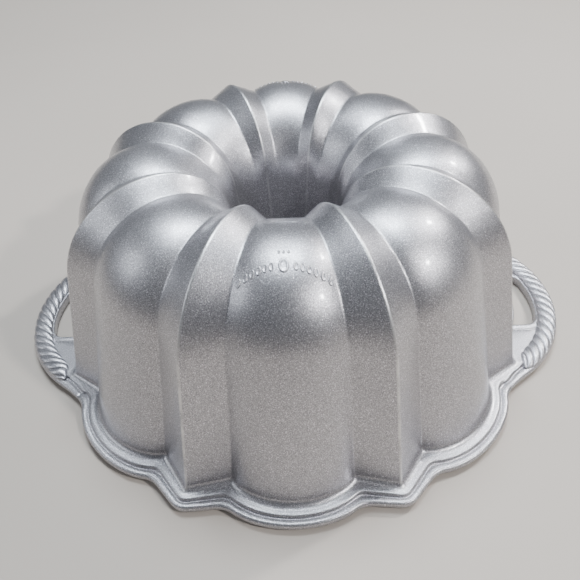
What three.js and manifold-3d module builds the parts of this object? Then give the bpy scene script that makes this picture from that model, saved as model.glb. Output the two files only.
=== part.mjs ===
// Fluted ring-cake pan in cast aluminium, standing upside down on its rim.
// Millimetres, +Z up, origin on the tube's axis in the rim plane, handles along X.
// An angle phi goes round the pan from the front (-Y) towards +X.
import * as THREE from 'three';
import { mergeVertices } from 'three/addons/utils/BufferGeometryUtils.js';
import Module from 'manifold-3d';

const wasm = await Module();
wasm.setup();

// ---- driving dimensions -------------------------------------------------------------------

const FLUTES = 8;                 // ridges round the pan, with a rounded lobe between each two
const WALL = 3.2;                 // thickness of the casting
const GAP = 0.3;                  // clearance between touching pieces
const LINING = 0.5;               // thickness of the lining's solid
const TUBE_END = 8;               // height of the tube's free end above the rim plane
const SHOULDER_STEPS = 6;         // facets over the crown's outer arc
const THROAT_STEPS = 6;           // facets over its inner arc
const BULGE_ARC = 58;             // half angle of the arc that rounds a lobe, in degrees

// The outer surface runs up the wall, over the crown and down the tube, along three profiles:
// wallRadius at z = 0, draft of the wall, crown's highest point, radius of the arc into the tube.
const profile = (wallRadius, draft, crownRadius, top, throat, tubeDraft) => (
  { wallRadius, draft, crownRadius, top, throat, tubeDraft });
const CREST = profile(131.0, 12.5, 63.9, 115.8, 34.2, 7.5);
const VALLEY = profile(120.2, 11.7, 65.0, 109.7, 36.1, 7.0);
const LOBE = profile(129.5, 14.8, 68.6, 112.4, 39.4, 7.2);
const RIDGE_ANGLE = { wall: 8.7, crown: 9.4, tube: 12.2 };   // half width of a ridge, in degrees

const RIM_TOP = 6.6;              // raised band round the foot of the wall
const RIM_STEP = 5.1;             // lower strip outside the band
const RIM_WAIST = 3.9;            // height of the rim's widest line
const BAND_WIDTH = 5.7;           // from the foot of the wall to the middle of the step
const STEP_RUN = 0.4;             // half the step's slope
const RIM_WIDTH = 9.7;            // from the foot of the wall to the widest line
const RIM_EDGE = 1.0;             // chamfer above that line
const RIM_TAPER = 1.9;            // how far the rim narrows below it
const CORNER_GAIN = 1.25;         // a valley's corner moves out faster than the offset
const CORNER_ROUND = 0.28;        // share of a face that a rounded rim corner takes

// Each handle is a bow: its outer edge, the finger hole and the moulding share one centre.
const BOW_CENTRE = 89.0;          // on the X axis
const BOW_OUTER = 67.2;           // outer edge
const BOW_SPREAD = 56;            // degrees from the X axis to the end of the outer arc
const BOW_ROOT = { x: 114.4, y: 66, dirX: 0.74, dirY: 0.67, reach: 5 };   // where it meets the rim
const HOLE_OUTER = 55.3;          // outer edge of the finger hole
const HOLE_HALF = 20.7;           // half its length
const HOLE_CORNER = 5.0;
const HOLE_INSET = 4.3;           // the hole's body side, from the foot of the wall
const STRIP_WIDTH = 4.0;          // low strip at each end of the hole

// A rope moulding lies on the bow and narrows to a point that swings outwards.
const ROPE_CENTRE = 61.1;         // radius of its centre line
const ROPE_HALF_WIDTH = 5.3;
const ROPE_TOP = 8.8;
const ROPE_BASE = 6.9;
const ROPE_FOOT = 1.0;
const ROPE_END = 56.0;            // degrees from the X axis to the moulding's pointed tip
const ROPE_TAPER = 8.5;           // degrees over which it narrows to the tip
const ROPE_SWING = 2.7;           // how far the tip lies outside the centre line
const ROPE_TIP = 0.6;             // degrees cut off each tip
const ROPE_PITCH = 6.05;          // spacing of the strands along the centre line
const ROPE_LEAD = 17.0;           // advance of a strand in one full turn
const ROPE_RELIEF = 0.9;          // depth of the grooves between the strands

// ---- profiles -----------------------------------------------------------------------------

const rad = THREE.MathUtils.degToRad;
const lerp = THREE.MathUtils.lerp;

function shoulderRadius(curve) {
  const a = rad(curve.draft);
  const run = curve.wallRadius - curve.crownRadius - curve.top * Math.tan(a);
  return run / (Math.cos(a) - (1 - Math.sin(a)) * Math.tan(a));
}

function wallAt(curve, z, inset) {
  const a = rad(curve.draft);
  return [curve.wallRadius - z * Math.tan(a) - inset / Math.cos(a), z];
}

function wallTop(curve) {
  return curve.top - shoulderRadius(curve) * (1 - Math.sin(rad(curve.draft)));
}

// u = 0 at the top of the wall, 1 at the crown's highest line.
function shoulderAt(curve, u, inset) {
  const r = shoulderRadius(curve);
  const a = lerp(rad(curve.draft), Math.PI / 2, u);
  return [curve.crownRadius + (r - inset) * Math.cos(a), curve.top - r + (r - inset) * Math.sin(a)];
}

// u = 0 at the crown's highest line, 1 where the straight tube starts.
function throatAt(curve, u, inset) {
  const a = u * (Math.PI / 2 - rad(curve.tubeDraft));
  const r = curve.throat - inset;
  return [curve.crownRadius - r * Math.sin(a), curve.top - curve.throat + r * Math.cos(a)];
}

function tubeAt(curve, z, inset) {
  const [r0, z0] = throatAt(curve, 1, 0);
  const a = rad(curve.tubeDraft);
  return [r0 - (z0 - z) * Math.tan(a) + inset / Math.cos(a), z];
}

function tubeTop(curve) {
  return throatAt(curve, 1, 0)[1];
}

// ---- rings of points round the fluted surface ---------------------------------------------

function polar(radius, phi, z) {
  return [radius * Math.sin(phi), -radius * Math.cos(phi), z];
}

function bulge(t) {
  const s = Math.sin(rad(BULGE_ARC));
  const c = Math.cos(rad(BULGE_ARC));
  return (Math.sqrt(1 - (t * s) ** 2) - c) / (1 - c);
}

// One closed ring: for each flute the valley, the crest, the next valley and the lobe's arc.
function flutedRing(pointOn, ridgeAngle) {
  const crest = pointOn(CREST);
  const valley = pointOn(VALLEY);
  const lobe = pointOn(LOBE);
  const pitch = Math.PI / FLUTES;
  const beta = rad(ridgeAngle);
  const ring = [];
  for (let k = 0; k < FLUTES; k++) {
    const phi = pitch * (2 * k + 1);
    ring.push(polar(valley[0], phi - beta, valley[1]));
    ring.push(polar(crest[0], phi, crest[1]));
    ring.push(polar(valley[0], phi + beta, valley[1]));
    for (const t of [-0.72, -0.38, 0, 0.38, 0.72]) {
      const b = bulge(t);
      const r = lerp(valley[0], lobe[0], b);
      const z = lerp(valley[1], lobe[1], b);
      ring.push(polar(r, phi + pitch + (pitch - beta) * t, z));
    }
  }
  return ring;
}

// Two triangles between each pair of neighbours on ring a and the next ring b.
function addBand(index, columns, a, b, flip = false) {
  for (let j = 0; j < columns; j++) {
    const next = (j + 1) % columns;
    if (flip) index.push(a + j, b + next, a + next, a + j, b + j, b + next);
    else index.push(a + j, a + next, b + next, a + j, b + next, b + j);
  }
}

function fromRings(rings, index) {
  const geometry = new THREE.BufferGeometry();
  geometry.setAttribute('position', new THREE.Float32BufferAttribute(rings.flat(2), 3));
  geometry.setIndex(index);
  return geometry;
}

// A closed solid from stacked rings, the lowest first, with a flat fan over each end.
function stackSolid(rings) {
  const columns = rings[0].length;
  const index = [];
  for (let i = 0; i < rings.length - 1; i++) addBand(index, columns, i * columns, (i + 1) * columns);
  const bottom = rings.length * columns;
  const top = bottom + 1;
  for (let j = 0; j < columns; j++) {
    const next = (j + 1) % columns;
    index.push(bottom, next, j);
    index.push(top, bottom - columns + j, bottom - columns + next);
  }
  const centres = [[0, 0, rings[0][0][2]], [0, 0, rings.at(-1)[0][2]]];
  return fromRings([...rings, centres], index);
}

// A closed skin between two faces with the same rings, split along the same diagonals.
function skinSolid(outer, inner) {
  const columns = outer[0].length;
  const face = outer.length * columns;
  const index = [];
  for (let i = 0; i < outer.length - 1; i++) {
    addBand(index, columns, i * columns, (i + 1) * columns);
    addBand(index, columns, face + i * columns, face + (i + 1) * columns, true);
  }
  addBand(index, columns, 0, face, true);
  addBand(index, columns, face - columns, 2 * face - columns);
  return fromRings([...outer, ...inner], index);
}

function steps(count) {
  return Array.from({ length: count + 1 }, (_, i) => i / count);
}

// ---- the casting's fluted regions ---------------------------------------------------------

function wallRings(bottom, inset) {
  const top = (curve) => wallTop(curve) - GAP;
  return steps(2).map((u) => flutedRing(
    (curve) => {
      const [r, z] = wallAt(curve, lerp(bottom, top(curve), u), 0);
      const a = rad(curve.draft);
      // the inner face is moved in along the wall's normal, except at the level foot
      return u === 0 ? wallAt(curve, bottom, inset) : [r - inset * Math.cos(a), z - inset * Math.sin(a)];
    }, RIDGE_ANGLE.wall));
}

function crownRings(inset) {
  const shoulder = steps(SHOULDER_STEPS).map((u) => flutedRing(
    (curve) => shoulderAt(curve, u, inset), lerp(RIDGE_ANGLE.wall, RIDGE_ANGLE.crown, u)));
  const throat = steps(THROAT_STEPS).slice(1).map((u) => flutedRing(
    (curve) => throatAt(curve, u, inset), lerp(RIDGE_ANGLE.crown, RIDGE_ANGLE.tube, u)));
  return [...shoulder, ...throat];
}

function tubeRings(inset) {
  return steps(1).map((u) => flutedRing(
    (curve) => {
      const [r, z] = tubeAt(curve, lerp(tubeTop(curve) - GAP, TUBE_END, u), 0);
      const a = rad(curve.tubeDraft);
      return u === 0 ? [r + inset * Math.cos(a), z - inset * Math.sin(a)] : tubeAt(curve, TUBE_END, inset);
    }, RIDGE_ANGLE.tube));
}

function sideWall() {
  const foot = RIM_TOP + GAP;
  return skinSolid(wallRings(foot, 0), wallRings(foot, WALL));
}

function crown() {
  return skinSolid(crownRings(0), crownRings(WALL));
}

function centreTube() {
  return skinSolid(tubeRings(0), tubeRings(WALL));
}

// The lining follows the cavity from just above the rim plane to the tube's free end. Its rings
// lie at the casting's own ring heights, so that the facets stay parallel.
function liningRings(inset) {
  const foot = flutedRing((curve) => wallAt(curve, 2 * GAP, inset), RIDGE_ANGLE.wall);
  const wall = wallRings(RIM_TOP + GAP, inset);
  return [foot, ...wall, ...crownRings(inset), ...tubeRings(inset)];
}

function nonstickLining() {
  return skinSolid(liningRings(WALL + GAP), liningRings(WALL + GAP + LINING));
}

// ---- joining and cutting ------------------------------------------------------------------

function toSolid(geometry) {
  const bare = geometry.index ? geometry.clone() : geometry;
  bare.deleteAttribute('normal');
  bare.deleteAttribute('uv');
  const merged = mergeVertices(bare, 1e-3);
  const vertProperties = new Float32Array(merged.getAttribute('position').array);
  const triVerts = new Uint32Array(merged.index.array);
  return new wasm.Manifold(new wasm.Mesh({ numProp: 3, vertProperties, triVerts }));
}

function toGeometry(solid) {
  const mesh = solid.getMesh();
  const geometry = new THREE.BufferGeometry();
  geometry.setAttribute('position', new THREE.Float32BufferAttribute(mesh.vertProperties, 3));
  geometry.setIndex(Array.from(mesh.triVerts));
  return geometry;
}

// ---- rim flange ---------------------------------------------------------------------------

// Corner points of the rim's outline, moved out from the foot of the wall by an offset.
function rimCorners(offset) {
  const crest = wallAt(CREST, RIM_TOP, 0)[0] + offset;
  const valley = wallAt(VALLEY, RIM_TOP, 0)[0] + offset * CORNER_GAIN;
  const lobe = wallAt(LOBE, RIM_TOP, 0)[0] + offset;
  return { crest, valley, lobe };
}

function bend(a, b, c, t) {
  const u = 1 - t;
  return a.map((_, i) => u * u * a[i] + 2 * u * t * b[i] + t * t * c[i]);
}

function blend(a, b, t) {
  return a.map((_, i) => lerp(a[i], b[i], t));
}

// One closed outline in the plane z, with rounded crests and valleys.
function rimRing(offset, heightAt) {
  const { crest, valley, lobe } = rimCorners(offset);
  const pitch = Math.PI / FLUTES;
  const beta = rad(RIDGE_ANGLE.wall);
  const ring = [];
  const onLobe = (phi, t) => {
    const r = lerp(valley, lobe, bulge(t));
    return polar(r, phi + (pitch - beta) * t, 0);
  };
  for (let k = 0; k < FLUTES; k++) {
    const phi = pitch * (2 * k + 1);
    const before = polar(valley, phi - beta, 0);
    const top = polar(crest, phi, 0);
    const after = polar(valley, phi + beta, 0);
    const cut = CORNER_ROUND * Math.min(1, offset / RIM_WIDTH);
    for (const t of [0.5, 1]) ring.push(bend(onLobe(phi - pitch, 0.9), before, blend(before, top, cut), t));
    for (const t of [0, 0.5, 1]) ring.push(bend(blend(top, before, cut), top, blend(top, after, cut), t));
    for (const t of [0, 0.5]) ring.push(bend(blend(after, top, cut), after, onLobe(phi + pitch, -0.9), t));
    for (const t of [-0.9, -0.6, -0.3, 0, 0.3, 0.6, 0.9]) ring.push(onLobe(phi + pitch, t));
  }
  return ring.map(([x, y]) => [x, y, heightAt(x, y)]);
}

// The rim has no step from a ridge's corner to the finger hole, where a handle's web meets it.
function underWeb(x, y) {
  const ridge = Math.PI * (1.5 / FLUTES);
  return Math.abs(Math.atan2(x, -Math.abs(y))) > ridge && Math.abs(Math.atan2(x, Math.abs(y))) > ridge
    && Math.abs(y) > HOLE_HALF + STRIP_WIDTH;
}

function rimFlange() {
  const stepTop = (x, y) => (underWeb(x, y) ? RIM_TOP : RIM_STEP);
  const waist = (x, y) => stepTop(x, y) + RIM_WAIST - RIM_STEP;
  const disc = toSolid(stackSolid([
    rimRing(RIM_WIDTH - RIM_TAPER, () => 0),
    rimRing(RIM_WIDTH, waist),
    rimRing(RIM_WIDTH - RIM_EDGE, stepTop),
    rimRing(BAND_WIDTH + STEP_RUN, stepTop),
    rimRing(BAND_WIDTH - STEP_RUN, () => RIM_TOP),
  ]));
  const mouth = toSolid(stackSolid([-2, RIM_TOP + 2].map(
    (z) => flutedRing((curve) => wallAt(curve, z, WALL), RIDGE_ANGLE.wall))));
  const blank = disc.subtract(mouth);
  return toGeometry(blank.subtract(holeCutter(1)).subtract(holeCutter(-1)));
}

// ---- handles ------------------------------------------------------------------------------

function plate(points, bottom, top) {
  const shape = new THREE.Shape(points.map(([x, y]) => new THREE.Vector2(x, y)));
  const geometry = new THREE.ExtrudeGeometry(shape, { depth: top - bottom, bevelEnabled: false });
  return toSolid(geometry.translate(0, 0, bottom));
}

function bowPoint(radius, degrees) {
  const a = rad(degrees);
  return [BOW_CENTRE + radius * Math.cos(a), radius * Math.sin(a)];
}

function bowArc(radius, from, to, count) {
  return steps(count).map((u) => bowPoint(radius, lerp(from, to, u)));
}

// The outer edge sweeps from the rim into the arc at both ends.
function bowOutline() {
  const end = bowPoint(BOW_OUTER, -BOW_SPREAD);
  const start = [BOW_ROOT.x, -BOW_ROOT.y];
  const lead = [start[0] + BOW_ROOT.reach * BOW_ROOT.dirX, start[1] + BOW_ROOT.reach * BOW_ROOT.dirY];
  const tangent = rad(BOW_SPREAD);
  const follow = [end[0] - BOW_ROOT.reach * Math.sin(tangent), end[1] - BOW_ROOT.reach * Math.cos(tangent)];
  const curve = new THREE.CubicBezierCurve(...[start, lead, follow, end].map(
    ([x, y]) => new THREE.Vector2(x, y)));
  const sweep = curve.getPoints(5).map((p) => [p.x, p.y]);
  const arc = bowArc(BOW_OUTER, -BOW_SPREAD, BOW_SPREAD, 26).slice(1, -1);
  return [...sweep, ...arc, ...sweep.map(([x, y]) => [x, -y]).reverse()];
}

// Closed outline of the finger hole with its corners rounded, grown all round by a margin.
function holeOutline(grow) {
  const radius = HOLE_OUTER + grow;
  const corner = HOLE_CORNER + grow;
  const cornerY = HOLE_HALF - HOLE_CORNER;
  const cornerX = BOW_CENTRE + Math.sqrt((radius - corner) ** 2 - cornerY ** 2);
  const meet = Math.atan2(cornerY, cornerX - BOW_CENTRE);
  const bent = steps(5).map((u) => {
    const a = lerp(Math.PI / 2, meet, u);
    return [cornerX + corner * Math.cos(a), cornerY + corner * Math.sin(a)];
  });
  const half = bowArc(radius, THREE.MathUtils.radToDeg(meet), 0, 5).slice(1);
  const upper = [[BOW_CENTRE, HOLE_HALF + grow], ...bent, ...half];
  const lower = upper.slice(0, -1).map(([x, y]) => [x, -y]).reverse();
  return [...upper, ...lower].reverse();
}

// The hole's block stops at the line where the hole's body side follows the lobe.
function holeCutter(side) {
  const hole = plate(holeOutline(0), -5, 20);
  const body = plate(rimRing(HOLE_INSET, () => 0).map(([x, y]) => [x, y]), -6, 21);
  const cut = hole.subtract(body);
  return side > 0 ? cut : cut.rotate([0, 0, 180]);
}

// Share of the full width that the moulding has at an angle round the bow's centre.
function ropeShare(degrees) {
  const left = (ROPE_END - Math.abs(degrees)) / ROPE_TAPER;
  return left >= 1 ? 1 : Math.sqrt(left * (2 - left));
}

function ropeLine(degrees) {
  const left = Math.min(1, (ROPE_END - Math.abs(degrees)) / ROPE_TAPER);
  return ROPE_CENTRE + ROPE_SWING * (1 - left) ** 3;
}

// Height of the twisted strands: u runs across the moulding from -1 to 1, s along it.
function ropeHeight(u, s, share) {
  const round = Math.sqrt(1 - u * u);
  const turn = Math.acos(u) / (2 * Math.PI);
  const strand = Math.abs(Math.sin(Math.PI * (s - ROPE_LEAD * turn) / ROPE_PITCH));
  return ROPE_BASE + round * share * (ROPE_TOP - ROPE_BASE - ROPE_RELIEF * (1 - strand));
}

function ropeSection(degrees) {
  const share = ropeShare(degrees);
  const half = ROPE_HALF_WIDTH * share;
  const middle = ropeLine(degrees);
  const s = ROPE_CENTRE * rad(degrees);
  const top = [-1, -0.9, -0.6, -0.2, 0.2, 0.6, 0.9, 1].map((u) => [u, ropeHeight(u, s, share)]);
  return [...top, [1, ROPE_FOOT], [-1, ROPE_FOOT]].map(
    ([u, z]) => [...bowPoint(middle + half * u, degrees), z]);
}

function ropeMoulding() {
  const end = ROPE_END - ROPE_TIP;
  const stations = Math.round(5 * ROPE_CENTRE * rad(2 * end) / ROPE_PITCH);
  const sections = steps(stations).map((u) => ropeSection(lerp(-end, end, u)));
  const columns = sections[0].length;
  const index = [];
  for (let i = 0; i < stations; i++) addBand(index, columns, i * columns, (i + 1) * columns);
  const last = stations * columns;
  for (let j = 1; j < columns - 1; j++) {
    index.push(0, j + 1, j);
    index.push(last, last + j, last + j + 1);
  }
  return toSolid(fromRings(sections, index));
}

// The low plate carries a raised web, cut back along the hole, and the rope moulding.
function handle() {
  const low = plate(bowOutline(), 0, RIM_STEP);
  const web = plate(bowArc(ROPE_CENTRE, -ROPE_END, ROPE_END, 16), 0, RIM_TOP)
    .subtract(plate(holeOutline(STRIP_WIDTH), RIM_STEP, 20));
  const rim = plate(rimRing(RIM_WIDTH + GAP, () => 0).map(([x, y]) => [x, y]), -5, 20);
  const hole = plate(holeOutline(0), -6, 21);
  return toGeometry(low.add(web).add(ropeMoulding()).subtract(hole).subtract(rim));
}

// ---- assembly -----------------------------------------------------------------------------

function finish(color, roughness, metalness) {
  return new THREE.MeshStandardMaterial({ color, roughness, metalness });
}

function named(name, geometry, material) {
  const mesh = new THREE.Mesh(geometry, material);
  mesh.name = name;
  return mesh;
}

const silver = [0xc3c4c8, 0.38, 0.85];
const pan = new THREE.Group();
pan.name = 'fluted_ring_pan';
pan.add(named('side_wall', sideWall(), finish(...silver)));
pan.add(named('crown', crown(), finish(...silver)));
pan.add(named('centre_tube', centreTube(), finish(...silver)));
pan.add(named('rim_flange', rimFlange(), finish(...silver)));

const handleGeometry = handle();
pan.add(named('handle_right', handleGeometry, finish(...silver)));
const leftHandle = named('handle_left', handleGeometry.clone(), finish(...silver));
leftHandle.rotation.z = Math.PI;
pan.add(leftHandle);

pan.add(named('nonstick_lining', nonstickLining(), finish(0x3a3a3d, 0.55, 0.1)));

export default pan;
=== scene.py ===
import math

import bmesh
import bpy
from mathutils import Matrix, Vector


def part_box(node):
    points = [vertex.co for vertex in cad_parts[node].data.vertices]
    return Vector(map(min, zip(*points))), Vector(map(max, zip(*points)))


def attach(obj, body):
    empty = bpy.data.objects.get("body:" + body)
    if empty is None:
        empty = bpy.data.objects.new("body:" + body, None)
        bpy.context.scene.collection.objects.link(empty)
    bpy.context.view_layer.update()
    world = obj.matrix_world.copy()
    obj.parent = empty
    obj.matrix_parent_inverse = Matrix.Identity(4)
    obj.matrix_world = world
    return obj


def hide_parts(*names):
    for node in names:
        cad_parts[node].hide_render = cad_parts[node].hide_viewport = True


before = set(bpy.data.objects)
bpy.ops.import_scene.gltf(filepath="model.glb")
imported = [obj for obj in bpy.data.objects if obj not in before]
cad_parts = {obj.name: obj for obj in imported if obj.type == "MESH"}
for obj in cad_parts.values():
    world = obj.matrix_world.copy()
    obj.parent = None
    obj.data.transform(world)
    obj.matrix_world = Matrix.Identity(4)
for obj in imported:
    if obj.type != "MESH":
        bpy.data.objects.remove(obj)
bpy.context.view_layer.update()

# The pan stands upside down on its rim. Lengths are in millimetres until a mesh is made.
MM = 0.001
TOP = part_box("crown")[1][2] / MM                # height of the crown
BAND_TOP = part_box("rim_flange")[1][2] / MM      # raised band round the foot of the wall

# ---- the fluted body's measures -----------------------------------------------------------

FLUTES = 8
CREST = dict(wall=131.0, draft=12.5, crown=63.9, top=TOP, throat=34.2, tube=7.5)
VALLEY = dict(wall=120.2, draft=11.7, crown=65.0, top=TOP - 6.1, throat=36.1, tube=7.0)
LOBE = dict(wall=129.5, draft=14.8, crown=68.6, top=TOP - 3.4, throat=39.4, tube=7.2)
RIDGE_WALL = 8.7            # half width of a ridge in degrees, on the wall
RIDGE_CROWN = 9.4           # at the crown's highest line
RIDGE_TUBE = 12.2           # in the tube
BULGE_ARC = 58.0            # a lobe bulges as this many degrees of a circle, each side
WALL = 3.2
LINING_FACE = 4.0           # the lining's face, inside the outer surface
TUBE_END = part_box("centre_tube")[0][2] / MM

CREST_SOFT = 1.0            # rounding of a ridge's crest, along its faces
VALLEY_SOFT = 0.9           # rounding of the line where a ridge meets a lobe

# ---- the rim's measures -------------------------------------------------------------------

FILLET = 3.1                # rounding between wall and band
STEP_DROP = 1.5             # the lower strip outside the band lies this much below it
RIM_WIDTH = 9.6             # out to the widest line
RIM_WAIST = 3.9             # height of that line
RIM_TAPER = 1.9             # how far the underside draws in
EDGE_ROUND = 1.4            # rounding of the top of the rim's outer edge
CORNER_GAIN = 1.25          # a valley's corner moves out faster than the offset
HOLE_INSET = 4.3            # the finger hole's body side, from the foot of the wall
COVERED_REACH = 5.2         # the rim's reach under a handle's plate
COVERED_FALL = 2.4          # how far it falls away there
COVERED_STEP = (4.6, 5.6)   # the offsets between which it falls
COVERED_ROUND = 0.8         # its edge's rounding there and beside a hole
COVERED_TAPER = 0.5         # how far its underside draws in there
HOLE_FADE = (-2.5, 1.5)     # where the rim stops giving way to a hole, from the hole's end
CORNER_SOFT = 0.46          # how much softer the rim's corners get with each unit of offset
FILLET_TUCK = 0.04          # the fillet starts this far inside the wall
BEAD = 0.72                 # depth of the rounded bead's top, as a part of the step
# offset from the foot of the wall, and depth as a part of the step
STEP_SECTION = [(3.6, 0.0), (4.7, 0.0), (4.95, 0.05), (5.2, 0.2), (5.45, 0.5), (5.65, 0.85), (5.85, 1.02),
                (6.1, 1.08), (6.4, 1.0), (6.8, 0.85), (7.3, 0.75), (7.9, BEAD), (8.3, BEAD)]

# ---- the handles' measures ----------------------------------------------------------------

BOW_CENTRE = 89.0           # on the X axis; the arcs of a handle share it
BOW_OUTER = 67.2            # outer edge
BOW_SPREAD = 56.0           # degrees to the end of the outer arc
BOW_REACH = 5.0             # pull of the curve that joins this arc to the rim
UNDER_BAND = 3.7            # the handle's inner edge, from the foot of the wall
ROOT_BACK = 1.8             # how far a handle's plate starts back inside the rim
TUCK = 1.2                  # how much lower its top starts there
TUCK_UNDER = 1.0            # and how much higher its underside starts
LIFT = 0.3                  # the rim's underside lies this much above a handle's
HOLE_OUTER = 55.3           # outer edge of the finger hole
HOLE_HALF = 20.7            # half its length
HOLE_CORNER = 7.0
HOLE_ROUND = 1.0            # rounding of its top edge, downwards
HOLE_ROUND_IN = 0.75        # and inwards
PLATE_CHAMFER = 0.6         # at the plate's lower edges
JOINED = (2.0, 12.0)        # distance from a plate's end over which it takes its own shape
JOINED_WIDTH = 0.76         # at the end its bead and step are this much narrower
JOINED_DROP = 0.08          # and its top is this much lower
PLATE_BEAD = 0.74           # depth of the rounded bead's top, as a part of the step
ROPE_CENTRE = 61.4          # radius of the moulding's centre line
ROPE_HALF_WIDTH = 5.5
ROPE_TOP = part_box("handle_right")[1][2] / MM
ROPE_BASE = 4.6             # height of its long edges
ROPE_FOOT = 2.0             # its underside, hidden in the plate
ROPE_END = 56.0             # degrees from the X axis to the moulding's pointed tip
ROPE_CUT = 0.3              # degrees cut off each tip
ROPE_TAPER = 8.5            # degrees over which it narrows to the tip
ROPE_SWING = 2.7            # how far the tip lies outside the centre line
ROPE_PITCH = 6.05           # spacing of the strands along the centre line
ROPE_LEAD = 28.0            # advance of a strand in one full turn
ROPE_RELIEF = 1.35          # depth of the grooves between the strands
ROPE_PHASE = 4.25           # place of one groove, from the middle of the bow
ROPE_PLUMP = 0.32           # power of a sine: the lower, the flatter the strands
ROPE_CROWN = 0.65           # the same for the moulding's rounded top
ROPE_BLUNT = 0.75           # the same for its tips
ROPE_TIP_RISE = 0.3         # share of its height that it keeps at the tips
SUNK = 0.05                 # a handle's plate lies this much below the rim's band
# distance from the outer edge, and depth below the web as a part of the step
OUTER_SECTION = [(2.2, PLATE_BEAD), (2.8, 0.76), (3.4, 0.85), (3.9, 0.98), (4.3, 1.06), (4.7, 1.02),
                 (5.0, 0.85), (5.25, 0.5), (5.5, 0.2), (5.8, 0.04), (6.1, 0.0)]
# the same from the finger hole's edge, at its ends
HOLE_SECTION = [(6.0, 0.0), (5.6, 0.05), (5.3, 0.3), (5.0, 0.8), (4.7, 1.1), (4.4, 1.13), (3.9, 0.9),
                (3.2, 0.6), (2.2, 0.5), (1.2, 0.5)]


def rad(degrees):
    return math.radians(degrees)


def lerp(a, b, u):
    return a + (b - a) * u


def mix(p, q, u):
    return tuple(lerp(a, b, u) for a, b in zip(p, q))


def steps(count):
    return [i / count for i in range(count + 1)]


def smooth(edge0, edge1, x):
    u = min(1.0, max(0.0, (x - edge0) / (edge1 - edge0)))
    return u * u * (3 - 2 * u)


# ---- profiles: radius and height along a crest, a valley or a lobe -------------------------

def shoulder_radius(curve):
    a = rad(curve["draft"])
    run = curve["wall"] - curve["crown"] - curve["top"] * math.tan(a)
    return run / (math.cos(a) - (1 - math.sin(a)) * math.tan(a))


def wall_at(curve, z, inset=0.0):
    a = rad(curve["draft"])
    return curve["wall"] - z * math.tan(a) - inset / math.cos(a), z


def wall_top(curve):
    return curve["top"] - shoulder_radius(curve) * (1 - math.sin(rad(curve["draft"])))


def shoulder_at(curve, u, inset=0.0):
    r = shoulder_radius(curve)
    a = lerp(rad(curve["draft"]), math.pi / 2, u)
    return curve["crown"] + (r - inset) * math.cos(a), curve["top"] - r + (r - inset) * math.sin(a)


def throat_at(curve, u, inset=0.0):
    a = u * (math.pi / 2 - rad(curve["tube"]))
    r = curve["throat"] - inset
    return curve["crown"] - r * math.sin(a), curve["top"] - curve["throat"] + r * math.cos(a)


def tube_at(curve, z, inset=0.0):
    r0, z0 = throat_at(curve, 1)
    a = rad(curve["tube"])
    return r0 - (z0 - z) * math.tan(a) + inset / math.cos(a), z


# ---- rings of points round the fluted surface ----------------------------------------------

def polar(radius, phi, z):
    return radius * math.sin(phi), -radius * math.cos(phi), z


def bulge(t):
    s = math.sin(rad(BULGE_ARC))
    c = math.cos(rad(BULGE_ARC))
    return (math.sqrt(max(0.0, 1 - (t * s) ** 2)) - c) / (1 - c)


def bend(a, corner, b, count):
    """Points of a quadratic curve, without its first point."""
    return [mix(mix(a, corner, u), mix(corner, b, u), u) for u in steps(count)[1:]]


FACE_STEPS = 2
CREST_STEPS = 6
VALLEY_STEPS = 4
LOBE_STEPS = 20
COLUMNS = FLUTES * (2 * FACE_STEPS + CREST_STEPS + 2 * VALLEY_STEPS + LOBE_STEPS)
ROOT_COLUMN = COLUMNS // FLUTES - 1     # where the second ridge's first face begins


def lobe_point(k, t, valley, lobe, beta):
    pitch = math.pi / FLUTES
    b = bulge(t)
    phi = pitch * (2 * k + 2) + (pitch - beta) * t
    return polar(lerp(valley[0], lobe[0], b), phi, lerp(valley[1], lobe[1], b))


def fluted_ring(at, ridge, crest_soft=CREST_SOFT, valley_soft=VALLEY_SOFT):
    """One closed ring. at(curve) gives radius and height, ridge is the half width in degrees."""
    crest = at(CREST)
    valley = at(VALLEY)
    lobe = at(LOBE)
    pitch = math.pi / FLUTES
    beta = rad(ridge)
    probe = 0.02
    ring = []
    for k in range(FLUTES):
        phi = pitch * (2 * k + 1)
        before = Vector(polar(valley[0], phi - beta, valley[1]))
        peak = Vector(polar(crest[0], phi, crest[1]))
        after = Vector(polar(valley[0], phi + beta, valley[1]))
        face = (peak - before).length
        low = valley_soft / face
        high = 1 - crest_soft / face
        start = Vector(lobe_point(k, -1, valley, lobe, beta))
        pace = (Vector(lobe_point(k, -1 + probe, valley, lobe, beta)) - start).length / probe
        edge = 1 - valley_soft / pace
        ring += [mix(before, peak, lerp(low, high, u)) for u in steps(FACE_STEPS)[1:]]
        ring += bend(ring[-1], peak, mix(after, peak, high), CREST_STEPS)
        ring += [mix(after, peak, lerp(high, low, u)) for u in steps(FACE_STEPS)[1:]]
        ring += bend(ring[-1], after, lobe_point(k, -edge, valley, lobe, beta), VALLEY_STEPS)
        ring += [lobe_point(k, lerp(-edge, edge, u), valley, lobe, beta)
                 for u in steps(LOBE_STEPS)[1:]]
        following = Vector(lobe_point(k, 1, valley, lobe, beta))
        next_peak = Vector(polar(crest[0], phi + 2 * pitch, crest[1]))
        ring += bend(ring[-1], following, mix(following, next_peak, low), VALLEY_STEPS)
    return [tuple(p) for p in ring]


def column_kinds():
    """For each column 1 on a crest's rounding, -1 on a valley's, else 0."""
    flute = [0.0] * FACE_STEPS + [1.0] * (CREST_STEPS - 1) + [0.0] * (FACE_STEPS + 1)
    flute += [-1.0] * (VALLEY_STEPS - 1) + [0.0] * (LOBE_STEPS + 1) + [-1.0] * (VALLEY_STEPS - 1) + [0.0]
    return flute * FLUTES


# ---- meshes --------------------------------------------------------------------------------

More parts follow.
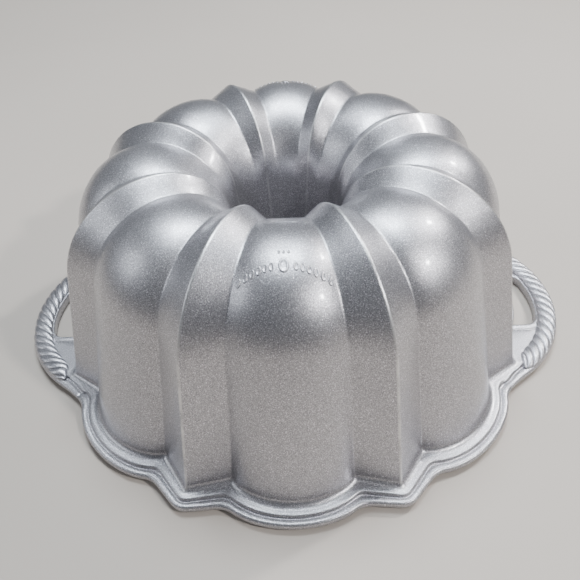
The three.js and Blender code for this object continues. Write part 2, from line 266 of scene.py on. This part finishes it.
def make_mesh(name, points, faces, material, sharp=40.0, wear_and_highlight=None):
    mesh = bpy.data.meshes.new(name)
    mesh.from_pydata([tuple(c * MM for c in p) for p in points], [], faces)
    mesh.materials.append(material)
    mesh.shade_smooth()
    mesh.set_sharp_from_angle(angle=rad(sharp))
    # per point, how much lighter the colour is on the crests: partly worn paint, partly a painted
    # highlight
    if wear_and_highlight:
        layer = mesh.attributes.new("wear_and_highlight", "FLOAT", "POINT")
        layer.data.foreach_set("value", wear_and_highlight)
    mesh.validate()
    mesh.update()
    piece = bpy.data.objects.new(name, mesh)
    bpy.context.scene.collection.objects.link(piece)
    return piece


def tube_of_rings(rings, closed):
    """Faces between rings of equal length. A closed one also joins the last ring to the first."""
    n = len(rings[0])
    points = [p for ring in rings for p in ring]
    faces = []
    count = len(rings)
    for i in range(count if closed else count - 1):
        a = i * n
        b = ((i + 1) % count) * n
        for j in range(n):
            m = (j + 1) % n
            faces.append((a + j, a + m, b + m, b + j))
    return points, faces


# the crests' rounding is lightened in colour: partly worn paint, partly a painted highlight along the lit
# edges
def wear_and_highlight_rows(rings, strength):
    kinds = column_kinds()
    return [k * strength for _ in rings for k in kinds]


def weld(piece):
    """Merge the points that meet at the moulding's tips."""
    mesh = bmesh.new()
    mesh.from_mesh(piece.data)
    bmesh.ops.remove_doubles(mesh, verts=mesh.verts, dist=0.00002)
    bmesh.ops.dissolve_degenerate(mesh, edges=mesh.edges, dist=0.00001)
    bmesh.ops.recalc_face_normals(mesh, faces=mesh.faces)
    mesh.to_mesh(piece.data)
    mesh.free()


def turned(points, turn):
    """The left handle is the right one turned half round the pan's axis."""
    return [(-x, -y, z) for x, y, z in points] if turn else points


# ---- materials -----------------------------------------------------------------------------

def node(tree, kind, **settings):
    made = tree.nodes.new(kind)
    for key, value in settings.items():
        if key in made.inputs:
            made.inputs[key].default_value = value
        else:
            setattr(made, key, value)
    return made


def noise(tree, coords, scale, detail=2.0, roughness=0.5):
    made = node(tree, "ShaderNodeTexNoise", Scale=scale, Detail=detail, Roughness=roughness)
    tree.links.new(coords, made.inputs["Vector"])
    return made.outputs["Fac"]


def ramp(tree, factor, stops):
    made = tree.nodes.new("ShaderNodeValToRGB")
    elements = made.color_ramp.elements
    while len(elements) < len(stops):
        elements.new(0.5)
    for element, (place, value) in zip(elements, stops):
        element.position = place
        element.color = (*value, 1) if isinstance(value, tuple) else (value, value, value, 1)
    tree.links.new(factor, made.inputs["Fac"])
    return made.outputs["Color"]


def blend_colour(tree, factor, a, b, mode="MIX"):
    made = tree.nodes.new("ShaderNodeMix")
    made.data_type = "RGBA"
    made.blend_type = mode
    for socket, value in ((made.inputs[0], factor), (made.inputs[6], a), (made.inputs[7], b)):
        if isinstance(value, (float, int)):
            socket.default_value = value
        elif isinstance(value, tuple):
            socket.default_value = (*value, 1)
        else:
            tree.links.new(value, socket)
    return made.outputs[2]


def surface(name, metallic, **settings):
    material = bpy.data.materials.new(name)
    material.use_nodes = True
    tree = material.node_tree
    shader = tree.nodes["Principled BSDF"]
    shader.inputs["Metallic"].default_value = metallic
    for key, value in settings.items():
        shader.inputs[key].default_value = value
    coords = tree.nodes.new("ShaderNodeTexCoord").outputs["Object"]
    return material, tree, shader, coords


def bump(tree, shader, height, distance, strength=1.0):
    made = node(tree, "ShaderNodeBump", Distance=distance, Strength=strength)
    tree.links.new(height, made.inputs["Height"])
    tree.links.new(made.outputs["Normal"], shader.inputs["Normal"])


def silver_coat(name="silver_coat"):
    """Satin silver coating with a metallic grain, worn bright along the crests, where the lighter colour
    is also a painted highlight.
    """
    settings = {"Coat Weight": 0.5, "Coat Roughness": 0.13}
    material, tree, shader, coords = surface(name, 0.9, **settings)
    grain = noise(tree, coords, scale=2100.0, detail=2.0, roughness=0.7)
    flake = noise(tree, coords, scale=2300.0, detail=1.0)
    broad = noise(tree, coords, scale=22.0, detail=3.0)
    tone = ramp(tree, broad, [(0.3, (0.43, 0.42, 0.445)), (0.7, (0.48, 0.47, 0.495))])
    flakes = ramp(tree, flake, [(0.34, 0.60), (0.50, 0.92), (0.60, 1.0), (0.68, 1.8)])
    colour = blend_colour(tree, 1.0, tone, flakes, "MULTIPLY")
    # lighter colour along the crests: partly worn paint, partly a painted highlight standing in for light
    # caught by their rounded edges
    attribute = node(tree, "ShaderNodeAttribute", attribute_name="wear_and_highlight")
    patches = ramp(tree, noise(tree, coords, scale=90.0, detail=3.0), [(0.35, 0.15), (0.65, 0.85)])
    wear_and_highlight = blend_colour(tree, 1.0, attribute.outputs["Color"], patches, "MULTIPLY")
    colour = blend_colour(tree, wear_and_highlight, colour, (0.70, 0.695, 0.69))
    tree.links.new(colour, shader.inputs["Base Color"])
    rough = ramp(tree, broad, [(0.3, 0.33), (0.7, 0.38)])
    tree.links.new(rough, shader.inputs["Roughness"])
    bump(tree, shader, grain, distance=0.00012, strength=0.9)
    return material


def dark_nonstick():
    """Dark grey nonstick lining with a faint speckle."""
    material, tree, shader, coords = surface("dark_nonstick", 0.0)
    speckle = noise(tree, coords, scale=900.0, detail=2.0)
    broad = noise(tree, coords, scale=30.0, detail=3.0)
    base = ramp(tree, broad, [(0.3, (0.060, 0.060, 0.064)), (0.7, (0.078, 0.078, 0.083))])
    dots = ramp(tree, speckle, [(0.62, 1.0), (0.72, 1.8)])
    tree.links.new(blend_colour(tree, 1.0, base, dots, "MULTIPLY"), shader.inputs["Base Color"])
    tree.links.new(ramp(tree, broad, [(0.3, 0.36), (0.7, 0.44)]), shader.inputs["Roughness"])
    bump(tree, shader, speckle, distance=0.00005, strength=0.5)
    return material


def floor_paint():
    material, tree, shader, coords = surface("floor", 0.0, Roughness=0.75)
    broad = noise(tree, coords, scale=3.0, detail=3.0)
    tree.links.new(ramp(tree, broad, [(0.3, (0.43, 0.38, 0.335)), (0.7, (0.455, 0.405, 0.36))]),
                   shader.inputs["Base Color"])
    return material


SILVER = silver_coat()
NONSTICK = dark_nonstick()

# ---- the fluted shell and the tube ---------------------------------------------------------

WALL_ROWS = 9
SHOULDER_ROWS = 30
THROAT_ROWS = 30
FOOT = BAND_TOP + FILLET    # where the wall leaves the fillet
HIDDEN_FOOT = 1.0           # the shell's lower end, hidden in the rim


def wall_ring(u, inset, foot, **soft):
    at = lambda curve: wall_at(curve, lerp(foot, wall_top(curve), u), inset)
    return fluted_ring(at, RIDGE_WALL, **soft)


def shoulder_ring(u, inset, **soft):
    at = lambda curve: shoulder_at(curve, u, inset)
    return fluted_ring(at, lerp(RIDGE_WALL, RIDGE_CROWN, u), **soft)


def throat_ring(u, inset, **soft):
    at = lambda curve: throat_at(curve, u, inset)
    return fluted_ring(at, lerp(RIDGE_CROWN, RIDGE_TUBE, u), **soft)


def tube_ring(u, inset, end, **soft):
    at = lambda curve: tube_at(curve, lerp(throat_at(curve, 1)[1], end, u), inset)
    return fluted_ring(at, RIDGE_TUBE, **soft)


def skin(inset, foot, wall, shoulder, throat, tube=0, end=TUBE_END, **soft):
    """Rings up the wall, over the crown and, if asked, down the tube."""
    rings = [wall_ring(u, inset, foot, **soft) for u in steps(wall)]
    rings += [shoulder_ring(u, inset, **soft) for u in steps(shoulder)[1:]]
    rings += [throat_ring(u, inset, **soft) for u in steps(throat)[1:]]
    if tube:
        rings += [tube_ring(u, inset, end, **soft) for u in steps(tube)[1:]]
    return rings


def fluted_shell():
    outer = [wall_ring(0, 0, HIDDEN_FOOT)] + skin(0, FOOT, WALL_ROWS, SHOULDER_ROWS, THROAT_ROWS)
    inner = skin(WALL, HIDDEN_FOOT, 3, 8, 8)
    rings = outer + inner[::-1]
    points, faces = tube_of_rings(rings, True)
    wear_and_highlight = wear_and_highlight_rows(outer, 1.0) + [0.0] * (len(inner) * COLUMNS)
    return make_mesh("fluted_shell", points, faces, SILVER, wear_and_highlight=wear_and_highlight)


def centre_tube():
    lip = 1.2
    outer = [tube_ring(u, 0, TUBE_END + lip) for u in steps(8)]
    outer += [tube_ring(1, lip * (1 - math.cos(rad(a))), TUBE_END + lip * (1 - math.sin(rad(a))))
              for a in (25, 50, 75, 90)]
    inner = [tube_ring(u, WALL, TUBE_END) for u in steps(3)]
    rings = outer + inner[::-1]
    points, faces = tube_of_rings(rings, True)
    wear_and_highlight = wear_and_highlight_rows(outer, 0.6) + [0.0] * (len(inner) * COLUMNS)
    return make_mesh("centre_tube", points, faces, SILVER, wear_and_highlight=wear_and_highlight)


def nonstick_lining():
    foot = 0.4
    soft = dict(crest_soft=2.0, valley_soft=1.6)
    face = skin(LINING_FACE, foot, 6, 20, 20, 8, TUBE_END + 0.3, **soft)
    back = skin(WALL + 0.05, foot, 2, 8, 8, 2, TUBE_END + 0.3, **soft)
    rings = back + face[::-1]
    points, faces = tube_of_rings(rings, True)
    return make_mesh("nonstick_lining", points, faces, NONSTICK)


# ---- relief marks ---------------------------------------------------------------------------

FRONT_LOBE = 7
BACK_LOBE = 3
MARK_HEIGHT = 0.32
MARK_ARC = 0.733            # place of the arc's middle on the shoulder, from the wall to the crown
MARK_DROP = 0.206           # how much lower its ends lie
MARKS_PER_SIDE = 6
MARK_START = 0.25           # first mark of a side, from the lobe's middle to its edge
MARK_SPACING = 0.125
MARK_SIZE = (1.1, 2.1)      # half width and half height
CENTRE_MARK_SIZE = (2.2, 3.4)
SMALL_MARK = 0.847          # place of the short row above it
SMALL_MARK_SPACING = 0.11
SMALL_MARK_SIZE = (0.6, 0.8)
# share of a mark's half width, and height as a part of the full height: a raised oval outline
MARK_SECTION = [(1.0, -0.8), (0.98, 0.3), (0.88, 0.95), (0.7, 0.95), (0.55, 0.45), (0.45, 0.3)]


def lobe_surface(k, t, u):
    at = lambda curve: shoulder_at(curve, u)
    return Vector(lobe_point(k, t, at(VALLEY), at(LOBE), rad(lerp(RIDGE_WALL, RIDGE_CROWN, u))))


def add_mark(points, faces, k, t, u, half_width, half_height):
    """A raised oval on a lobe's shoulder: t runs across the lobe, u up the shoulder."""
    probe = 0.01
    middle = lobe_surface(k, t, u)
    across = (lobe_surface(k, t + probe, u) - middle) / probe
    up = (lobe_surface(k, t, u + probe) - middle) / probe
    normal = across.cross(up).normalized()
    count = 20
    first = len(points)
    for share, height in MARK_SECTION:
        for i in range(count):
            angle = 2 * math.pi * i / count
            a = t + half_width * share * math.cos(angle) / across.length
            b = u + half_height * share * math.sin(angle) / up.length
            points.append(tuple(lobe_surface(k, a, b) + normal * (height * MARK_HEIGHT)))
    for row in range(len(MARK_SECTION) - 1):
        for i in range(count):
            a = first + row * count
            b = a + count
            m = (i + 1) % count
            faces.append((a + i, a + m, b + m, b + i))
    faces.append(tuple(first + i for i in range(count))[::-1])
    faces.append(tuple(first + (len(MARK_SECTION) - 1) * count + i for i in range(count)))


def relief_marks():
    """An arc of plain raised ovals with a short row above it, on the front and back lobes."""
    points = []
    faces = []
    for k in (FRONT_LOBE, BACK_LOBE):
        for side in (-1, 1):
            for i in range(MARKS_PER_SIDE):
                t = side * (MARK_START + MARK_SPACING * i)
                add_mark(points, faces, k, t, MARK_ARC - MARK_DROP * t * t, *MARK_SIZE)
        add_mark(points, faces, k, 0.0, MARK_ARC, *CENTRE_MARK_SIZE)
        for t in (-SMALL_MARK_SPACING, 0.0, SMALL_MARK_SPACING):
            add_mark(points, faces, k, t, SMALL_MARK, *SMALL_MARK_SIZE)
    return make_mesh("relief_marks", points, faces, SILVER, sharp=70)


# ---- the rim -------------------------------------------------------------------------------

def rim_ring(offset, z=0.0):
    """A ring at one distance from the foot of the wall, with corners that soften outwards."""
    def at(curve):
        gain = CORNER_GAIN if curve is VALLEY else 1.0
        return wall_at(curve, BAND_TOP)[0] + offset * gain, z

    soft = max(0.0, offset) * CORNER_SOFT
    return fluted_ring(at, RIDGE_WALL, CREST_SOFT + soft, VALLEY_SOFT + soft)


def fillet_ring(u):
    """The rounding between the wall, at u = 0, and the band."""
    height = BAND_TOP + FILLET * (1 - u) ** 2

    def at(curve):
        top = wall_at(curve, FOOT)[0] - FILLET_TUCK
        foot = wall_at(curve, BAND_TOP)[0]
        end = foot + FILLET * (CORNER_GAIN if curve is VALLEY else 1.0)
        return (1 - u) ** 2 * top + 2 * u * (1 - u) * foot + u * u * end, height

    soft = FILLET * u * u * CORNER_SOFT
    return fluted_ring(at, RIDGE_WALL, CREST_SOFT + soft, VALLEY_SOFT + soft)


class RimPlan:
    """Per column, how far out the rim reaches: less beside a finger hole and under a handle."""

    def __init__(self):
        self.spacing = 0.5
        count = int(RIM_WIDTH / self.spacing) + 2
        self.rings = [rim_ring(i * self.spacing) for i in range(count)]
        root = self.rings[-1][ROOT_COLUMN]
        self.covered = []
        self.hole = []
        for x, y, _ in self.rings[-1]:
            covered = 1.0 if abs(y / x) < 0.999 * abs(root[1] / root[0]) else 0.0
            self.covered.append(covered)
            past_end = abs(y) - HOLE_HALF
            self.hole.append(covered * (1 - smooth(*HOLE_FADE, past_end)))

    def point(self, column, offset, z):
        place = min(max(offset, 0.0) / self.spacing, len(self.rings) - 1.001)
        i = int(place)
        x, y, _ = mix(self.rings[i][column], self.rings[i + 1][column], place - i)
        return x, y, z

    def columns(self):
        """Column, the shares covered by a handle and beside a hole, reach, and edge rounding."""
        for j, (covered, hole) in enumerate(zip(self.covered, self.hole)):
            reach = lerp(RIM_WIDTH, lerp(COVERED_REACH, HOLE_INSET, hole), covered)
            yield j, covered, hole, reach, lerp(EDGE_ROUND, COVERED_ROUND, covered)

    def height(self, offset, covered, hole):
        """Height of the upper face. Under a handle's plate it falls away, beside a hole it doesn't."""
        fall = COVERED_FALL * covered * (1 - hole) * smooth(*COVERED_STEP, offset)
        return top_height(0 if covered else offset) - fall

    def top_ring(self, offset):
        """The upper face at one distance from the foot of the wall."""
        ring = []
        for j, covered, hole, reach, rounding in self.columns():
            held = min(offset, reach - rounding)
            ring.append(self.point(j, held, self.height(offset if covered else held, covered, hole)))
        return ring

    def edge_ring(self, angle):
        """The rounded top of the outer edge, 0 degrees on the bead and 90 at the widest line."""
        ring = []
        for j, covered, hole, reach, rounding in self.columns():
            top = self.height(reach - rounding if not covered else RIM_WIDTH, covered, hole)
            fall = lerp(top - RIM_WAIST, COVERED_ROUND, hole)
            place = reach - rounding * (1 - math.sin(rad(angle)))
            ring.append(self.point(j, place, top - fall * (1 - math.cos(rad(angle)))))
        return ring

    def under_ring(self, angle):
        """The rounded underside of the outer edge, 0 degrees at the widest line."""
        ring = []
        for j, covered, hole, reach, _ in self.columns():
            inset = lerp(RIM_TAPER, COVERED_TAPER, covered) * (1 - math.cos(rad(angle)))
            lift = LIFT * covered * (1 - hole)
            ring.append(self.point(j, reach - inset, lerp(RIM_WAIST, lift, math.sin(rad(angle)))))
        return ring


def top_height(offset):
    """Height of the rim's upper face: the band, the step, the groove at its foot and the bead."""
    depth = STEP_SECTION[-1][1]
    for (d0, share0), (d1, share1) in zip(STEP_SECTION, STEP_SECTION[1:]):
        if offset <= d1:
            depth = lerp(share0, share1, max(0.0, (offset - d0) / (d1 - d0)))
            break
    return BAND_TOP - STEP_DROP * depth


def wall_ring_at(inset, z):
    return fluted_ring(lambda curve: wall_at(curve, z, inset), RIDGE_WALL)


def rim_flange():
    plan = RimPlan()
    fillet = [fillet_ring(u) for u in steps(8)]
    rings = fillet + [plan.top_ring(offset) for offset, _ in STEP_SECTION]
    rings += [plan.edge_ring(angle) for angle in (12, 28, 45, 62, 78, 90)]
    rings += [plan.under_ring(angle) for angle in (20, 40, 60, 75, 90)]
    rings += [rim_ring(2.0)]
    for inset, z in ((WALL, 0.0), (WALL, 0.95), (WALL / 2, 0.95), (WALL / 2, FOOT)):
        rings.append(wall_ring_at(inset, z))
    points, faces = tube_of_rings(rings, True)
    wear_and_highlight = wear_and_highlight_rows(fillet, 0.7) + [0.0] * ((len(rings) - len(fillet)) * COLUMNS)
    return make_mesh("rim_flange", points, faces, SILVER, sharp=50, wear_and_highlight=wear_and_highlight)


# ---- the handles ---------------------------------------------------------------------------

def bow_point(radius, degrees):
    return BOW_CENTRE + radius * math.cos(rad(degrees)), radius * math.sin(rad(degrees))


def rope_share(degrees):
    left = (ROPE_END - abs(degrees)) / ROPE_TAPER
    return 1.0 if left >= 1 else max(0.0, left * (2 - left)) ** ROPE_BLUNT


def rope_line(degrees):
    left = min(1.0, (ROPE_END - abs(degrees)) / ROPE_TAPER)
    return ROPE_CENTRE + ROPE_SWING * (1 - left) ** 2


def rope_point(s, angle, groove):
    """angle runs from 0 at the outer edge to pi at the inner edge, s along the moulding."""
    degrees = math.degrees(s / ROPE_CENTRE)
    share = rope_share(degrees)
    half = ROPE_HALF_WIDTH * share - groove * 0.4
    x, y = bow_point(rope_line(degrees) + half * math.cos(angle), degrees)
    rise = (ROPE_TOP - ROPE_BASE) * lerp(ROPE_TIP_RISE, 1, share) - groove
    return x, y, ROPE_BASE + rise * math.sin(angle) ** ROPE_CROWN


def rope_moulding(name, turn):
    """Twisted strands on the bow: each row of points follows a strand round the moulding."""
    per_strand = 18
    across = 20
    length = ROPE_CENTRE * rad(ROPE_END - ROPE_CUT)
    reach = length + ROPE_LEAD / 4
    count = int(2 * reach * per_strand / ROPE_PITCH)
    sections = []
    for i in range(count + 1):
        along = lerp(-reach, reach, i / count)
        strand = abs(math.sin(math.pi * (along - ROPE_PHASE) / ROPE_PITCH)) ** ROPE_PLUMP
        section = []
        for j in range(across + 1):
            angle = math.pi * (1 - j / across)
            s = along + ROPE_LEAD * (angle / (2 * math.pi) - 0.25)
            s = max(-length, min(length, s))
            fade = min(1.0, rope_share(math.degrees(s / ROPE_CENTRE)) * 1.6)
            section.append(rope_point(s, angle, ROPE_RELIEF * (1 - strand) * fade))
        inner, outer = section[0], section[-1]
        section += [(outer[0], outer[1], ROPE_FOOT), (inner[0], inner[1], ROPE_FOOT)]
        sections.append(section)
    points = [p for section in sections for p in section]
    n = len(sections[0])
    faces = []
    for i in range(len(sections) - 1):
        for j in range(n):
            m = (j + 1) % n
            faces.append((i * n + j, i * n + m, (i + 1) * n + m, (i + 1) * n + j))
    faces.append(tuple(range(n))[::-1])
    last = (len(sections) - 1) * n
    faces.append(tuple(last + j for j in range(n)))
    piece = make_mesh(name, turned(points, turn), faces, SILVER, sharp=50)
    weld(piece)
    return piece


# where along the bow, in degrees, the outer edge stands opposite a corner of the inner edge
OPPOSITE = dict(ridge=-54.0, strip=-41.0, rim_end=-36.0, cap_end=-24.0, corner_end=-16.0)
PIECE_STEPS = (12, 12, 4, 6, 8, 9)      # divisions of both edges between these places
CREST_RANGE = (-61.0, -45.0)            # y values between which the rim's next crest lies


def bow_arc(radius, start, end, count):
    return [Vector(bow_point(radius, lerp(start, end, u))) for u in steps(count)]


def root_point(offset, inset):
    """Where a handle leaves the rim, at an offset from the foot of the wall, and its direction."""
    ring = rim_ring(offset)
    here = Vector(ring[ROOT_COLUMN][:2])
    direction = (Vector(ring[ROOT_COLUMN + 1][:2]) - here).normalized()
    return here - ROOT_BACK * direction + inset * Vector((-direction.y, direction.x)), direction


def outer_pieces():
    """The bow's outer edge from its front root to the X axis."""
    end = Vector(bow_point(BOW_OUTER, -BOW_SPREAD))
    start, direction = root_point(RIM_WIDTH, 0.1)
    lead = start + BOW_REACH * direction
    tangent = rad(BOW_SPREAD)
    follow = end - BOW_REACH * Vector((math.sin(tangent), math.cos(tangent)))
    sweep = []
    for u in steps(12):
        a = start.lerp(lead, u)
        b = lead.lerp(follow, u)
        c = follow.lerp(end, u)
        sweep.append(a.lerp(b, u).lerp(b.lerp(c, u), u))
    stops = list(OPPOSITE.values()) + [0.0]
    pieces = [sweep + bow_arc(BOW_OUTER, -BOW_SPREAD, stops[0], 2)[1:]]
    return pieces + [bow_arc(BOW_OUTER, a, b, 16) for a, b in zip(stops, stops[1:])]


def between(line, low, high):
    """The part of a line, rising in y, from one y to another."""
    def at(y):
        for a, b in zip(line, line[1:]):
            if a.y <= y <= b.y:
                return a.lerp(b, (y - a.y) / (b.y - a.y))

    return [at(low)] + [p for p in line if low < p.y < high] + [at(high)]


def inner_pieces():
    """The handle's inner edge: under the rim's band, then round the finger hole to the X axis."""
    under = [Vector((x, y)) for x, y, _ in rim_ring(UNDER_BAND) if x > 0 and y < 0]
    under.sort(key=lambda p: p.y)
    crest = max((p for p in under if CREST_RANGE[0] < p.y < CREST_RANGE[1]), key=lambda p: p.length)
    root, _ = root_point(UNDER_BAND, 0.0)
    stops = (root.y, crest.y, -HOLE_HALF - HOLE_SECTION[0][0], -HOLE_HALF)
    run = [between(under, low, high) for low, high in zip(stops, stops[1:])]
    corner_y = HOLE_HALF - HOLE_CORNER
    corner_x = BOW_CENTRE + math.sqrt((HOLE_OUTER - HOLE_CORNER) ** 2 - corner_y ** 2)
    meet = math.atan2(corner_y, corner_x - BOW_CENTRE)
    cap = [run[-1][-1].lerp(Vector((corner_x, -HOLE_HALF)), u) for u in steps(10)]
    bent = []
    for u in steps(9):
        a = lerp(math.pi / 2, meet, u)
        bent.append(Vector((corner_x + HOLE_CORNER * math.cos(a),
                            -corner_y - HOLE_CORNER * math.sin(a))))
    arc = bow_arc(HOLE_OUTER, -math.degrees(meet), 0, 12)
    return run + [cap, bent, arc]


def whole_edge(pieces):
    """Join the pieces, evenly divided, and mirror them to the back root."""
    half = [pieces[0][0]]
    for piece, count in zip(pieces, PIECE_STEPS):
        half += resample(piece, steps(count))[1:]
    return half + [Vector((p.x, -p.y)) for p in reversed(half[:-1])]


def resample(line, shares):
    """Points of a polyline at given shares of its length."""
    lengths = [0.0]
    for a, b in zip(line, line[1:]):
        lengths.append(lengths[-1] + (b - a).length)
    made = []
    i = 0
    for share in shares:
        target = share * lengths[-1]
        while i < len(line) - 2 and lengths[i + 1] < target:
            i += 1
        span = lengths[i + 1] - lengths[i]
        made.append(line[i].lerp(line[i + 1], (target - lengths[i]) / span))
    return made


def normals_of(line):
    made = []
    for i in range(len(line)):
        a = line[max(0, i - 1)]
        b = line[min(len(line) - 1, i + 1)]
        d = (b - a).normalized()
        made.append(Vector((d.y, -d.x)))
    return made


def hole_depth(distance):
    """Depth of the strip round the finger hole at a distance from its edge, as a part of the step."""
    for (far, deep), (near, shallow) in zip(HOLE_SECTION, HOLE_SECTION[1:]):
        if distance >= near:
            return lerp(shallow, deep, min(1.0, (distance - near) / (far - near)))
    return HOLE_SECTION[-1][1]


def plate_section(o, i, out, into, joined, tucked):
    """Points from the plate's underside at its outer edge, over the top, to the inner edge.

    joined is 1 where the plate runs into the rim and has its narrower bead, 0 on the bow.
    tucked is 1 at the plate's ends, which lie inside the rim, 0 where it comes out.
    """
    web = BAND_TOP - SUNK - JOINED_DROP * joined - TUCK * tucked
    foot = TUCK_UNDER * tucked
    narrow = lerp(1.0, JOINED_WIDTH, joined)
    away = max(0.0, abs(i.y) - HOLE_HALF)
    if 0 < away < HOLE_SECTION[0][0]:
        into = Vector((0, math.copysign(1, i.y)))
    bead = web - STEP_DROP * PLATE_BEAD
    top = [(o - out * (RIM_TAPER + PLATE_CHAMFER), foot)]
    for angle in (90, 75, 60, 40, 20):
        top.append((o - out * RIM_TAPER * (1 - math.cos(rad(angle))),
                    lerp(RIM_WAIST, foot, math.sin(rad(angle)))))
    for angle in (90, 74, 58, 42, 26, 10):
        top.append((o - out * EDGE_ROUND * narrow * (1 - math.sin(rad(angle))),
                    bead - (bead - RIM_WAIST) * (1 - math.cos(rad(angle)))))
    top += [(o - out * d * narrow, web - STEP_DROP * share) for d, share in OUTER_SECTION]
    near = o - out * OUTER_SECTION[-1][0] * narrow
    spread = [max(d - away, 0.8 + 0.01 * d) for d, _ in HOLE_SECTION]
    far = i + into * spread[0]
    if (far - near).dot(out) > 0:
        far = near
    top += [(near.lerp(far, u), web) for u in (0.33, 0.66)]
    top += [(i + into * d, web - STEP_DROP * hole_depth(away + d)) for d in spread]
    edge = top[-1][1]
    for angle in (10, 30, 50, 70, 90):
        top.append((i + into * HOLE_ROUND_IN * (1 - math.sin(rad(angle))),
                    edge - HOLE_ROUND * (1 - math.cos(rad(angle)))))
    top += [(i, PLATE_CHAMFER + foot), (i + into * 0.5, foot), (i + into * 1.1, foot)]
    return [(p.x, p.y, z) for p, z in top]


def handle_plate(name, turn):
    """The bow's plate: rounded outer edge, low bead, step, raised web and the hole's edge."""
    outer = whole_edge(outer_pieces())
    inner = whole_edge(inner_pieces())
    sections = []
    for o, i, out, into in zip(outer, inner, normals_of(outer), normals_of(inner)):
        from_end = (Vector((o.x, -abs(o.y))) - outer[0]).length
        joined = 1 - smooth(*JOINED, from_end)
        tucked = 1 - smooth(0, ROOT_BACK, from_end)
        sections.append(plate_section(o, i, out, into, joined, tucked))
    points = [p for section in sections for p in section]
    n = len(sections[0])
    faces = []
    for k in range(len(sections) - 1):
        for j in range(n):
            m = (j + 1) % n
            faces.append((k * n + j, (k + 1) * n + j, (k + 1) * n + m, k * n + m))
    faces.append(tuple(range(n)))
    last = (len(sections) - 1) * n
    faces.append(tuple(last + j for j in range(n))[::-1])
    return make_mesh(name, turned(points, turn), faces, SILVER, sharp=60)


# ---- assembly ------------------------------------------------------------------------------

def add(piece, slot, *nodes):
    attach(piece, "root")
    if nodes:
        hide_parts(*nodes)


add(fluted_shell(), "silver_coat", "side_wall", "crown")
add(centre_tube(), "silver_coat", "centre_tube")
add(rim_flange(), "silver_coat", "rim_flange")
add(relief_marks(), "silver_coat")
for side in ("right", "left"):
    add(handle_plate("handle_plate_" + side, side == "left"), "silver_coat", "handle_" + side)
    add(rope_moulding("rope_moulding_" + side, side == "left"), "silver_coat")
add(nonstick_lining(), "dark_nonstick", "nonstick_lining")

# ---- floor, camera and light ---------------------------------------------------------------


FLOOR_HALF = 3.0                # these places are in metres
FLOOR_DROP = 0.0004             # keeps the floor clear of the rim's underside
CAMERA_PLACE = (0.00769, -0.25087, 0.25592)
CAMERA_AIM = (-0.02488, 0.72617, -0.68709)
CAMERA_ROLL = -3.011            # degrees
CAMERA_LENS = 36.05             # on a sensor 36 wide


def floor():
    half = FLOOR_HALF
    mesh = bpy.data.meshes.new("floor")
    mesh.from_pydata([(-half, -half, 0), (half, -half, 0), (half, half, 0), (-half, half, 0)], [],
                     [(0, 1, 2, 3)])
    mesh.materials.append(floor_paint())
    piece = bpy.data.objects.new("floor", mesh)
    piece.location.z = -FLOOR_DROP
    bpy.context.scene.collection.objects.link(piece)


def camera():
    """The view from in front and above, close to the pan, slightly rolled."""
    data = bpy.data.cameras.new("camera")
    data.lens = CAMERA_LENS
    data.sensor_width = 36.0
    data.clip_start = 0.01
    rig = bpy.data.objects.new("camera", data)
    bpy.context.scene.collection.objects.link(rig)
    forward = Vector(CAMERA_AIM).normalized()
    level = forward.cross(Vector((0, 0, 1))).normalized()
    above = level.cross(forward)
    roll = rad(CAMERA_ROLL)
    right = math.cos(roll) * level + math.sin(roll) * above
    up = -math.sin(roll) * level + math.cos(roll) * above
    turn = Matrix((right, up, -forward)).transposed().to_4x4()
    rig.matrix_world = Matrix.Translation(CAMERA_PLACE) @ turn
    bpy.context.scene.camera = rig


def lamp(name, place, aim, size, power, colour=(1, 1, 1), size_y=None):
    data = bpy.data.lights.new(name, "AREA")
    data.shape = "RECTANGLE" if size_y else "DISK"
    data.size = size
    if size_y:
        data.size_y = size_y
    data.energy = power
    data.color = colour
    rig = bpy.data.objects.new(name, data)
    rig.location = place
    rig.rotation_mode = "QUATERNION"
    rig.rotation_quaternion = (Vector(aim) - Vector(place)).to_track_quat("-Z", "Y")
    bpy.context.scene.collection.objects.link(rig)


def lights():
    world = bpy.data.worlds.new("studio")
    world.use_nodes = True
    world.node_tree.nodes["Background"].inputs["Color"].default_value = (0.80, 0.84, 0.92, 1)
    world.node_tree.nodes["Background"].inputs["Strength"].default_value = 0.2
    bpy.context.scene.world = world
    lamp("overhead", (0.0, 0.5, 1.6), (0, 0, 0.05), 0.75, 40, (0.84, 0.93, 1.0), size_y=0.5)
    lamp("front_spot", (0.87, -0.55, 0.98), (0.04, -0.08, 0.1), 0.09, 13)
    lamp("back_spot", (0.82, 0.53, 0.97), (0.05, -0.05, 0.1), 0.09, 13)
    lamp("window", (-1.6, -0.2, 1.1), (0, 0, 0.05), 0.9, 7, (0.88, 0.94, 1.0))


floor()
camera()
lights()
